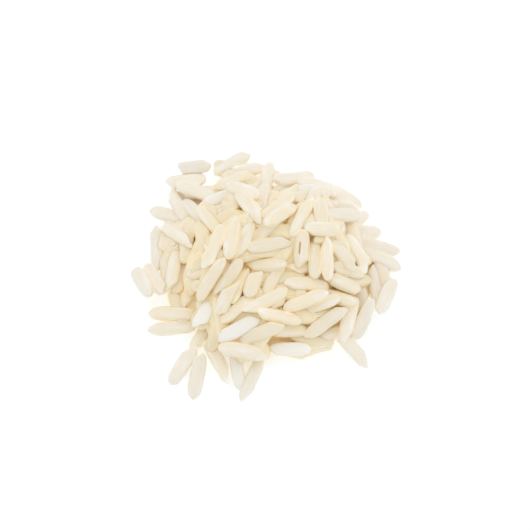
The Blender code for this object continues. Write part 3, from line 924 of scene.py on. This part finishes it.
def rice_material(name, settings, colour, milky_colour, cloud=CLEAR_CLOUD, scatter=1.0, crest_highlight=0.0):
    """A finish of rice: waxy, with light scattered under the surface, and milky along the grain."""
    material, nodes = new_finish(name)

    def kept(key, output="Fac"):
        return nodes.node("ShaderNodeAttribute", attribute_name=f"grain_{key}").outputs[output]

    tone, rim = kept("tone"), kept("rim")
    feeds = {
        "Place": kept("place", "Vector"), "Tone": tone, "Cloud": cloud, "Slit": kept("slit"), "Crest": crest_highlight,
    }
    group = bpy.data.node_groups.get(MARKS_NAME) or marks_group()
    marks = nodes.node("ShaderNodeGroup", feeds, node_tree=group).outputs
    # Painted light: paler towards the rim, back and right of the heap
    colour = nodes.mixed(rim, colour, settings.rim_light_colour)
    colour = nodes.mixed(marks["Milk"], colour, milky_colour)
    # Painted shade on the lower sides, strong inside the heap and faint at its rim
    side = nodes.times(marks["Side"], nodes.mapped(rim, 0.0, 1.0, *SIDE_SHADE_SHARES))
    colour = nodes.mixed(side, colour, SIDE_SHADE_COLOUR)
    colour = nodes.mixed(marks["Slit"], colour, SLIT_COLOUR)
    shade = nodes.mapped(tone, 0.0, 1.0, *TONE_RANGE)
    colour = nodes.mixed(1.0, colour, nodes.combined(shade, shade, shade), "MULTIPLY")
    scatter *= settings.translucency
    finish_surface(nodes, colour, settings.roughness, scatter, marks["Relief"], STREAK_RELIEF)
    return material


def core_material(settings):
    """Finish of the core: painted shade, the deeper cream of grains that get little light."""
    material, nodes = new_finish("rice_deep_shade")
    place = nodes.node("ShaderNodeTexCoord").outputs["Object"]
    patches = nodes.mapped(nodes.noise(place, CORE_PATCH_SCALE), *CORE_PATCH_REACH)
    colour = nodes.mixed(patches, settings.deep_shade_colour, settings.pale_colour)
    fine = nodes.noise(place, *CORE_FINE_NOISE)
    finish_surface(nodes, colour, CORE_ROUGHNESS, 0.0, fine, CORE_RELIEF)
    return material


def core_height(pile, x, y):
    """Height over places of the surface of the core, with rice-sized bumps."""
    draw = np.random.default_rng(BUMP_SEED)
    flank = CORE_FLANK * MOUND_RADII[1] * (CORE_REACH - mound_reach(pile.grid_x, pile.grid_y))
    level = np.minimum(even_level(pile) - CORE_UNDER, flank)
    height = level[pile.cell(x, y)] - BUMP_STANDS
    for _ in range(BUMP_COUNT):
        cx, cy = mound_place(math.sqrt(draw.uniform(0, 1)), draw.uniform(0, 2 * math.pi))
        turn = float(fan(cx)) + draw.normal(0, FAN_SCATTER)
        length, width, thickness = draw_size(draw, (GRAIN_LENGTH, GRAIN_WIDTH, GRAIN_THICKNESS))
        along, across = beside(0, 0, x - cx, y - cy, -turn)
        reach = width / 2 * fullness(along / (length / 2))
        bulge = thickness / width * np.sqrt(np.maximum(reach ** 2 - across ** 2, 0))
        ends = np.array([-length / 2, length / 2])
        low, high = level[pile.cell(*beside(cx, cy, ends, 0, turn))]
        middle = (low + high) / 2 + (high - low) * along / length - thickness / 2
        height = np.where(bulge > 0, np.maximum(height, middle + bulge), height)
    return np.minimum(height, lowest_near(pile)[pile.cell(x, y)] - CORE_CLEAR)


def core_mesh(pile):
    """The core's mesh: a closed low dome with a flat underside."""
    faces = []
    reaches = np.linspace(0, 1, CORE_RINGS + 1)[1:, None] * CORE_REACH
    x, y = mound_place(reaches, np.arange(CORE_SECTORS) * 2 * math.pi / CORE_SECTORS)
    z = np.maximum(core_height(pile, x, y), CORE_FLOOR)
    top = core_height(pile, *np.array(MOUND_CENTRE).reshape(2, 1))[0]
    dome = np.stack([x, y, z], axis=-1).reshape(-1, 3)
    foot = dome[-CORE_SECTORS:] * (1, 1, 0)
    verts = np.concatenate([[(*MOUND_CENTRE, top)], dome, foot, [(*MOUND_CENTRE, 0)]]).tolist()
    last = len(verts) - 1
    for k in range(CORE_SECTORS):
        after = (k + 1) % CORE_SECTORS
        faces.append((0, 1 + k, 1 + after))
        for ring in range(CORE_RINGS):
            inner = 1 + ring * CORE_SECTORS
            outer = inner + CORE_SECTORS
            faces.append((inner + k, outer + k, outer + after, inner + after))
        rim = 1 + CORE_RINGS * CORE_SECTORS
        faces.append((rim + k, last, rim + after))
    mesh = bpy.data.meshes.new("heap_core")
    mesh.from_pydata(verts, [], faces)
    mesh.shade_smooth()
    return mesh


def lit_table_material(settings):
    """The matt white of a table that is lit from under it, so that shadows on it stay faint."""
    material = bpy.data.materials.new("lit_table")
    material.use_nodes = True
    inputs = material.node_tree.nodes["Principled BSDF"].inputs
    inputs["Base Color"].default_value = settings.floor_colour
    inputs["Roughness"].default_value = FLOOR_ROUGHNESS
    inputs["Emission Color"].default_value = (1, 1, 1, 1)
    inputs["Emission Strength"].default_value = settings.floor_glow
    return material


def add_aimed(name, data, place, target):
    """Puts a lamp or camera into the scene at a place, pointed at a target."""
    made = add_object(name, data)
    made.location = place
    made.rotation_euler = (target - place).to_track_quat("-Z", "Y").to_euler()
    return made


def add_lamp(name, place, side, power):
    """A square soft lamp that shines at the heap."""
    light = bpy.data.lights.new(name, "AREA")
    light.size = side
    light.energy = power
    add_aimed(name, light, place, Vector())


def add_camera():
    """The camera, at the height and distance that the picture was taken from."""
    camera = bpy.data.cameras.new("camera")
    camera.lens = LENS
    camera.sensor_width = SENSOR
    camera.clip_start = CLIP_START
    back = Vector((0, -SIGHT_COS, SIGHT_SIN))
    up = Vector((0, SIGHT_SIN, SIGHT_COS))
    middle = PICTURE_SIDE / 2
    aim = Vector(((middle - ORIGIN_PIXEL[0]) * PIXEL, 0, 0)) + up * (ORIGIN_PIXEL[1] - middle) * PIXEL
    place = aim + back * PICTURE_SIDE * PIXEL / SENSOR * LENS
    bpy.context.scene.camera = add_aimed("camera", camera, place, aim)


def length_setting(name, description, default, low, high):
    """A length that the panel shows to a hundredth of a millimetre."""
    return bpy.props.FloatProperty(
        name=name, description=description, default=default, min=low, max=high, unit="LENGTH", precision=5,
    )


def share_setting(name, description, default, high=1.0):
    """A share or strength, from nothing up."""
    return bpy.props.FloatProperty(
        name=name, description=description, default=default, min=0, max=high, subtype="FACTOR",
    )


def colour_setting(name, description, default):
    """A colour."""
    return bpy.props.FloatVectorProperty(
        name=name, description=description, default=default, size=4, min=0, max=1, subtype="COLOR",
    )


class RiceGrainSettings(bpy.types.PropertyGroup):
    """Sizes, shape and finish of the grains and of the core under them"""

    length: length_setting("Length", "Length of a usual whole grain", GRAIN_LENGTH, 5 * MM, 9 * MM)
    width: length_setting("Width", "Width of a usual grain", GRAIN_WIDTH, 1.5 * MM, 3 * MM)
    thickness: length_setting("Thickness", "Thickness of a usual grain", GRAIN_THICKNESS, MM, 2.5 * MM)
    facet_depth: share_setting("Flats", "Depth of its flats, as a share of its width", FACET_DEPTH, 0.2)
    unevenness: share_setting("Unevenness", "How far it swells, as a share of its width", UNEVENNESS, 0.2)
    colour: colour_setting("Clear colour", "Colour of the clear part of a grain", CLEAR_COLOUR)
    milky_colour: colour_setting("Milky colour", "Colour of milky streaks and tips", MILKY_COLOUR)
    chalky_colour: colour_setting("Chalky colour", "Colour of the chalky grains' crests", CHALKY_COLOUR)
    # Painted light of the rim
    rim_light_colour: colour_setting("Rim colour", "Colour of the clear part of a grain at the rim", RIM_LIGHT_COLOUR)
    # Painted shade of the grains deep in the heap
    deep_shade_colour: colour_setting("Deep colour", "Colour of the core and the tucked grains", CORE_SHADE_COLOUR)
    pale_colour: colour_setting("Pale colour", "Colour of the paler parts of those", CLEAR_COLOUR)
    roughness: share_setting("Roughness", "Roughness of the waxy surface", ROUGHNESS)
    translucency: share_setting("Translucency", "Share of light that scatters in a grain", TRANSLUCENCY)


class RiceStageSettings(bpy.types.PropertyGroup):
    """The floor and the light"""

    floor_side: length_setting("Floor side", "Side of the square floor", FLOOR_SIDE, 0.2, 10)
    floor_colour: colour_setting("Floor colour", "Colour of the floor", FLOOR_COLOUR)
    floor_glow: share_setting("Floor glow", "Strength of the light up through the floor", FLOOR_GLOW, 10)
    key_power: bpy.props.FloatProperty(
        name="Key light", description="Power of the soft light from behind", default=KEY_POWER, min=0,
        unit="POWER",
    )
    world_strength: share_setting("Surroundings", "Strength of the light all round", WORLD_STRENGTH, 10)


class RICE_OT_core(bpy.types.Operator):
    """Add the core, with bumps like half-buried grains, that the grains lie on"""

    bl_idname = "rice.core"
    bl_label = "Core"

    def execute(self, context):
        rice = context.scene.rice_grains
        core = add_object("heap_core", core_mesh(lay_heap(usual_size(rice))))
        core.data.materials.append(core_material(rice))
        declare(core)
        return {"FINISHED"}


class RICE_OT_grains(bpy.types.Operator):
    """Add the grains, as one piece of each kind: tucked in, clear, chalky and broken"""

    bl_idname = "rice.grains"
    bl_label = "Grains"

    def execute(self, context):
        rice = context.scene.rice_grains
        finishes = {
            # The tucked grains take the painted shade of the deep colour
            "tucked": (rice.deep_shade_colour, rice.pale_colour),
            "clear": (rice.colour, rice.milky_colour),
            # Chalky grains: their own chalky white, with a painted highlight along the crest
            "chalky": (rice.colour, rice.chalky_colour, CHALKY_CLOUD, CHALKY_SCATTER, 1.0),
            "broken": (rice.colour, rice.milky_colour),
        }
        for kind, finish in finishes.items():
            shaped_grains(kind, rice, rice_material(f"rice_{kind}", rice, *finish))
        return {"FINISHED"}


class RICE_OT_stage(bpy.types.Operator):
    """Add the plain floor, the soft light and the camera"""

    bl_idname = "rice.stage"
    bl_label = "Stage"

    def execute(self, context):
        settings = context.scene.rice_stage
        half = settings.floor_side / 2
        mesh = bpy.data.meshes.new("floor")
        corners = [(-half, -half, 0), (half, -half, 0), (half, half, 0), (-half, half, 0)]
        mesh.from_pydata(corners, [], [(0, 1, 2, 3)])
        mesh.materials.append(lit_table_material(settings))
        floor = add_object("floor", mesh)
        world = bpy.data.worlds.new("surroundings")
        context.scene.world = world
        world.use_nodes = True
        background = world.node_tree.nodes["Background"]
        background.inputs["Color"].default_value = (1, 1, 1, 1)
        background.inputs["Strength"].default_value = settings.world_strength
        add_lamp("key_light", KEY_PLACE, KEY_SIDE, settings.key_power)
        add_lamp("fill_light", FILL_PLACE, FILL_SIDE, FILL_POWER)
        add_camera()
        context.scene.view_settings.view_transform = "Standard"
        context.scene.cycles.max_bounces = LIGHT_BOUNCES
        context.scene.cycles.diffuse_bounces = LIGHT_BOUNCES
        return {"FINISHED"}


OPERATORS = (RICE_OT_core, RICE_OT_grains, RICE_OT_stage)
SETTINGS = {"rice_grains": RiceGrainSettings, "rice_stage": RiceStageSettings}


class RICE_PT_panel(bpy.types.Panel):
    """The heap's settings and the steps that make it"""

    bl_idname = "RICE_PT_panel"
    bl_label = "Rice"
    bl_space_type = "VIEW_3D"
    bl_region_type = "UI"
    bl_category = "Rice"

    def draw(self, context):
        for name in SETTINGS:
            group = getattr(context.scene, name)
            for key in group.bl_rna.properties.keys():
                if key not in ("rna_type", "name"):
                    self.layout.prop(group, key)
        for operator in OPERATORS:
            self.layout.operator(operator.bl_idname)


CLASSES = (*SETTINGS.values(), *OPERATORS, RICE_PT_panel)


def register():
    """Makes the classes and the scene's settings known to Blender."""
    for each in CLASSES:
        bpy.utils.register_class(each)
    for name, group in SETTINGS.items():
        setattr(bpy.types.Scene, name, bpy.props.PointerProperty(type=group))


def unregister():
    """Takes the classes and the scene's settings away again."""
    for name in SETTINGS:
        delattr(bpy.types.Scene, name)
    for each in reversed(CLASSES):
        bpy.utils.unregister_class(each)


def main():
    """Makes every piece and the stage."""
    register()
    bpy.ops.rice.core()
    bpy.ops.rice.grains()
    bpy.ops.rice.stage()


if __name__ == "__main__":
    main()
